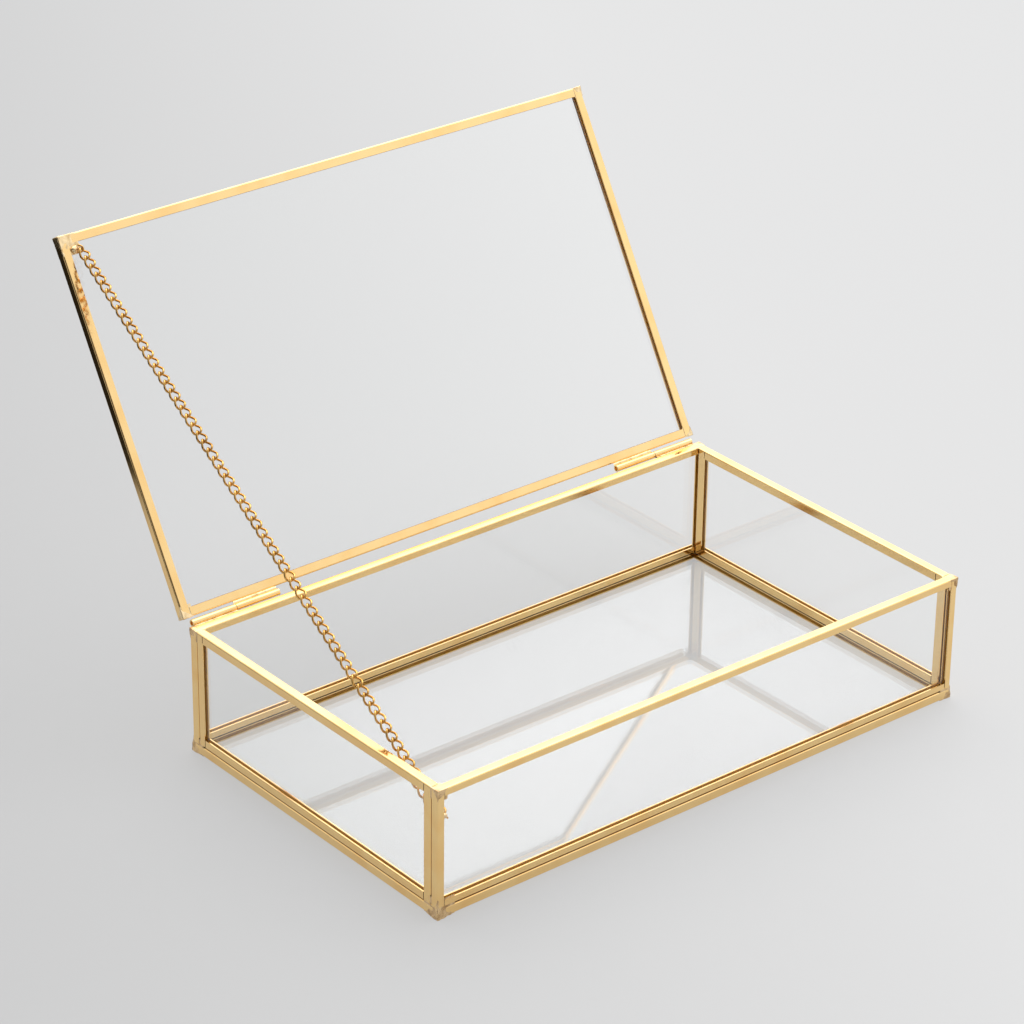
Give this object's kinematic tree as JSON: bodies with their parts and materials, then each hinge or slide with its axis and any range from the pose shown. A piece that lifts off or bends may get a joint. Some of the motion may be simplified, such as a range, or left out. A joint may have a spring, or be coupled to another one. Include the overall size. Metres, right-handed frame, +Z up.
{
  "type": "card box",
  "caption": "Clear glass box in folded brass channel, with a glass lid on two hinges that a curb chain holds open; it collects cards at a wedding.",
  "frame": {"origin": "middle of the underside of the bottom pane's front strip, on the surface that the box stands on", "axes": "+X to the box's right along its long side, +Y from its front to the hinged back, +Z up; stored with the lid open against its chain"},
  "size_m": [0.3008, 0.2738, 0.2175],
  "materials": {
    "clear_glass": "clear float glass with cut edges",
    "polished_brass": "polished, fine lengthwise lines",
    "solder": "gold plated solder, satin and slightly lumpy",
    "chain_brass": "polished wire"
  },
  "bodies": {
    "case": {"bottom_glass": "clear_glass", "bottom_front_strip": "polished_brass", "bottom_back_strip": "polished_brass", "bottom_left_strip": "polished_brass", "bottom_right_strip": "polished_brass", "front_glass": "clear_glass", "front_top_strip": "polished_brass", "front_bottom_strip": "polished_brass", "front_left_strip": "polished_brass", "front_right_strip": "polished_brass", "back_glass": "clear_glass", "back_top_strip": "polished_brass", "back_bottom_strip": "polished_brass", "back_left_strip": "polished_brass", "back_right_strip": "polished_brass", "left_glass": "clear_glass", "left_top_strip": "polished_brass", "left_bottom_strip": "polished_brass", "left_front_strip": "polished_brass", "left_back_strip": "polished_brass", "right_glass": "clear_glass", "right_top_strip": "polished_brass", "right_bottom_strip": "polished_brass", "right_front_strip": "polished_brass", "right_back_strip": "polished_brass", "case_solder": "solder", "left_case_knuckle": "polished_brass", "right_case_knuckle": "polished_brass", "left_hinge_pin": "polished_brass", "right_hinge_pin": "polished_brass", "case_chain_eye": "chain_brass"},
    "lid": {"lid_glass": "clear_glass", "lid_front_strip": "polished_brass", "lid_back_strip": "polished_brass", "lid_left_strip": "polished_brass", "lid_right_strip": "polished_brass", "lid_solder": "solder", "left_lid_knuckle": "polished_brass", "right_lid_knuckle": "polished_brass", "lid_chain_eye": "chain_brass"},
    "chain_first_link": {"chain_first_link": "chain_brass"},
    "chain_drop_run": {"chain_drop_run": "chain_brass"},
    "chain_floor_bend_1": {"chain_floor_bend_1": "chain_brass"},
    "chain_floor_bend_2": {"chain_floor_bend_2": "chain_brass"},
    "chain_back_run": {"chain_back_run": "chain_brass"},
    "chain_turn_1": {"chain_turn_1": "chain_brass"},
    "chain_turn_2": {"chain_turn_2": "chain_brass"},
    "chain_turn_3": {"chain_turn_3": "chain_brass"},
    "chain_turn_4": {"chain_turn_4": "chain_brass"},
    "chain_turn_5": {"chain_turn_5": "chain_brass"},
    "chain_front_run": {"chain_front_run": "chain_brass"},
    "chain_rise_bend": {"chain_rise_bend": "chain_brass"},
    "chain_rise_run": {"chain_rise_run": "chain_brass"}
  },
  "joints": [
    {"name": "lid_hinge", "type": "hinge", "parent": "case", "child": "lid", "pos_m": [0, 0.1765, 0.0624], "axis": [-1, 0, 0], "range_deg": [-120.3, 0]},
    {"name": "chain_first_link_pivot", "type": "hinge", "parent": "case", "child": "chain_first_link", "pos_m": [-0.1411, 0.0072, 0.0446], "axis": [1, 0, 0], "range_deg": [-85.16, 0]},
    {"name": "chain_drop_run_pivot", "type": "hinge", "parent": "case", "child": "chain_drop_run", "pos_m": [-0.1411, 0.00891, 0.04432], "axis": [1, 0, 0], "range_deg": [-123.16, 0], "deforming": ["chain_drop_run"]},
    {"name": "chain_floor_bend_1_pivot", "type": "hinge", "parent": "chain_drop_run", "child": "chain_floor_bend_1", "pos_m": [-0.1411, 0.03463, 0.06251], "axis": [-1, 0, 0], "range_deg": [-22.61, 0]},
    {"name": "chain_floor_bend_2_pivot", "type": "hinge", "parent": "chain_floor_bend_1", "child": "chain_floor_bend_2", "pos_m": [-0.1411, 0.03855, 0.06507], "axis": [-1, 0, 0], "range_deg": [-27.66, 0]},
    {"name": "chain_back_run_pivot", "type": "hinge", "parent": "case", "child": "chain_back_run", "pos_m": [-0.1411, -0.07538, 0.08192], "axis": [1, 0, 0], "range_deg": [-33.16, 0], "deforming": ["chain_back_run"]},
    {"name": "chain_turn_1_pivot", "type": "hinge", "parent": "chain_back_run", "child": "chain_turn_1", "pos_m": [-0.1411, 0.12867, 0.12391], "axis": [-1, 0, 0], "range_deg": [-38.99, 0]},
    {"name": "chain_turn_2_pivot", "type": "hinge", "parent": "chain_turn_1", "child": "chain_turn_2", "pos_m": [-0.1411, 0.13259, 0.12647], "axis": [-1, 0, 0], "range_deg": [-38.68, 0]},
    {"name": "chain_turn_3_pivot", "type": "hinge", "parent": "chain_turn_2", "child": "chain_turn_3", "pos_m": [-0.1411, 0.1365, 0.12903], "axis": [-1, 0, 0], "range_deg": [-37.97, 0]},
    {"name": "chain_turn_4_pivot", "type": "hinge", "parent": "chain_turn_3", "child": "chain_turn_4", "pos_m": [-0.1411, 0.14042, 0.13159], "axis": [-1, 0, 0], "range_deg": [-35.37, 0]},
    {"name": "chain_turn_5_pivot", "type": "hinge", "parent": "chain_turn_4", "child": "chain_turn_5", "pos_m": [-0.1411, 0.14434, 0.13415], "axis": [-1, 0, 0], "range_deg": [-35.03, 0]},
    {"name": "chain_front_run_pivot", "type": "hinge", "parent": "lid", "child": "chain_front_run", "pos_m": [-0.1411, 0.15508, 0.17524], "axis": [-1, 0, 0], "range_deg": [-34.8, 0], "deforming": ["chain_front_run"]},
    {"name": "chain_rise_run_pivot", "type": "hinge", "parent": "lid", "child": "chain_rise_run", "pos_m": [-0.1411, 0.26189, 0.21091], "axis": [1, 0, 0], "range_deg": [-30.51, 0], "deforming": ["chain_rise_run"]},
    {"name": "chain_rise_bend_pivot", "type": "hinge", "parent": "chain_rise_run", "child": "chain_rise_bend", "pos_m": [-0.1411, 0.21095, 0.17764], "axis": [-1, 0, 0], "range_deg": [-42.8, 0]}
  ],
  "couplings": [
    {"joint": "chain_first_link_pivot", "follows": "lid_hinge", "ratio": 0.70776},
    {"joint": "chain_drop_run_pivot", "follows": "lid_hinge", "ratio": 1.0236},
    {"joint": "chain_floor_bend_1_pivot", "follows": "lid_hinge", "ratio": 0.18777},
    {"joint": "chain_floor_bend_2_pivot", "follows": "lid_hinge", "ratio": 0.22975},
    {"joint": "chain_back_run_pivot", "follows": "lid_hinge", "ratio": 0.27551},
    {"joint": "chain_turn_1_pivot", "follows": "lid_hinge", "ratio": 0.32396},
    {"joint": "chain_turn_2_pivot", "follows": "lid_hinge", "ratio": 0.32139},
    {"joint": "chain_turn_3_pivot", "follows": "lid_hinge", "ratio": 0.3155},
    {"joint": "chain_turn_4_pivot", "follows": "lid_hinge", "ratio": 0.29383},
    {"joint": "chain_turn_5_pivot", "follows": "lid_hinge", "ratio": 0.29104},
    {"joint": "chain_front_run_pivot", "follows": "lid_hinge", "ratio": 0.28913},
    {"joint": "chain_rise_run_pivot", "follows": "lid_hinge", "ratio": 0.25343},
    {"joint": "chain_rise_bend_pivot", "follows": "lid_hinge", "ratio": 0.35558}
  ]
}
